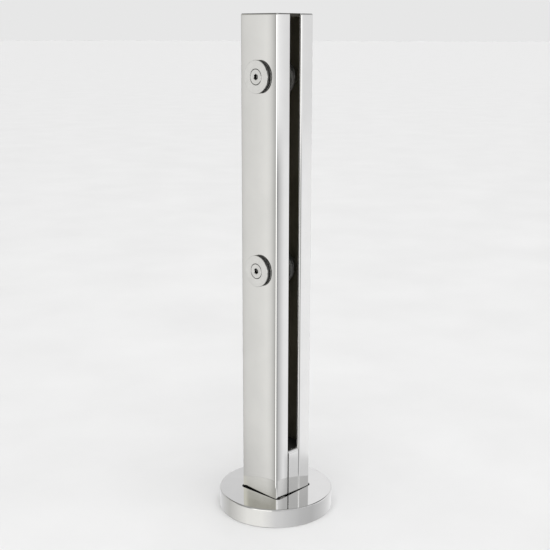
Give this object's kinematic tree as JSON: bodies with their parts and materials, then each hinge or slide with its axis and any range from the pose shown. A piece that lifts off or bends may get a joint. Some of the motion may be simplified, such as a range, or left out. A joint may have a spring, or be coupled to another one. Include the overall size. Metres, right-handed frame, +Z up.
{
  "type": "slotted glass clamp post",
  "caption": "Square polished post with a full-height slot, round clamp buttons with socket screws on one face, and a round base under a lift-up dress cover.",
  "frame": {"origin": "centre of the base underside, on the deck", "axes": "+Z up along the post; -Y is the way the slot opens; -X is the way the clamp buttons face"},
  "size_m": [0.117, 0.117, 0.5],
  "materials": {
    "polished_stainless": "mirror polished",
    "satin_stainless": "mill and satin",
    "black_rubber": "matte moulded",
    "grey_rubber": "matte moulded",
    "white_nylon": "moulded"
  },
  "bodies": {
    "post": {"post_tube": "polished_stainless", "top_closure_plate": "polished_stainless", "slot_filler_strip": "polished_stainless", "glass_seat_plate": "satin_stainless", "glass_seat_pad": "black_rubber", "base_flange": "satin_stainless", "base_weld_bead": "satin_stainless", "upper_threaded_boss": "satin_stainless", "upper_far_pad": "grey_rubber", "upper_screw_sleeve": "white_nylon", "lower_threaded_boss": "satin_stainless", "lower_far_pad": "grey_rubber", "lower_screw_sleeve": "white_nylon"},
    "cover": {"base_cover": "polished_stainless"},
    "upper_button": {"upper_clamp_button": "polished_stainless", "upper_button_gasket": "black_rubber"},
    "upper_screw": {"upper_clamp_screw": "polished_stainless"},
    "upper_squeeze": {"upper_pressure_disc": "satin_stainless", "upper_near_pad": "grey_rubber"},
    "lower_button": {"lower_clamp_button": "polished_stainless", "lower_button_gasket": "black_rubber"},
    "lower_screw": {"lower_clamp_screw": "polished_stainless"},
    "lower_squeeze": {"lower_pressure_disc": "satin_stainless", "lower_near_pad": "grey_rubber"}
  },
  "joints": [
    {"name": "cover_lift", "type": "slide", "parent": "post", "child": "cover", "axis": [0, 0, 1], "range_m": [0, 0.21]},
    {"name": "upper_button_travel", "type": "slide", "parent": "post", "child": "upper_button", "axis": [-1, 0, 0], "range_m": [0, 0.01]},
    {"name": "upper_screw_turn", "type": "hinge", "parent": "upper_button", "child": "upper_screw", "pos_m": [-0.0284, 0, 0.442], "axis": [-1, 0, 0], "range_deg": [0, 2880]},
    {"name": "upper_squeeze_travel", "type": "slide", "parent": "post", "child": "upper_squeeze", "axis": [1, 0, 0], "range_m": [0, 0.0027]},
    {"name": "lower_button_travel", "type": "slide", "parent": "post", "child": "lower_button", "axis": [-1, 0, 0], "range_m": [0, 0.01]},
    {"name": "lower_screw_turn", "type": "hinge", "parent": "lower_button", "child": "lower_screw", "pos_m": [-0.0284, 0, 0.255], "axis": [-1, 0, 0], "range_deg": [0, 2880]},
    {"name": "lower_squeeze_travel", "type": "slide", "parent": "post", "child": "lower_squeeze", "axis": [1, 0, 0], "range_m": [0, 0.0027]}
  ],
  "couplings": [
    {"joint": "upper_screw_turn", "follows": "upper_button_travel", "rad_per_m": 5026.5},
    {"joint": "lower_screw_turn", "follows": "lower_button_travel", "rad_per_m": 5026.5}
  ]
}
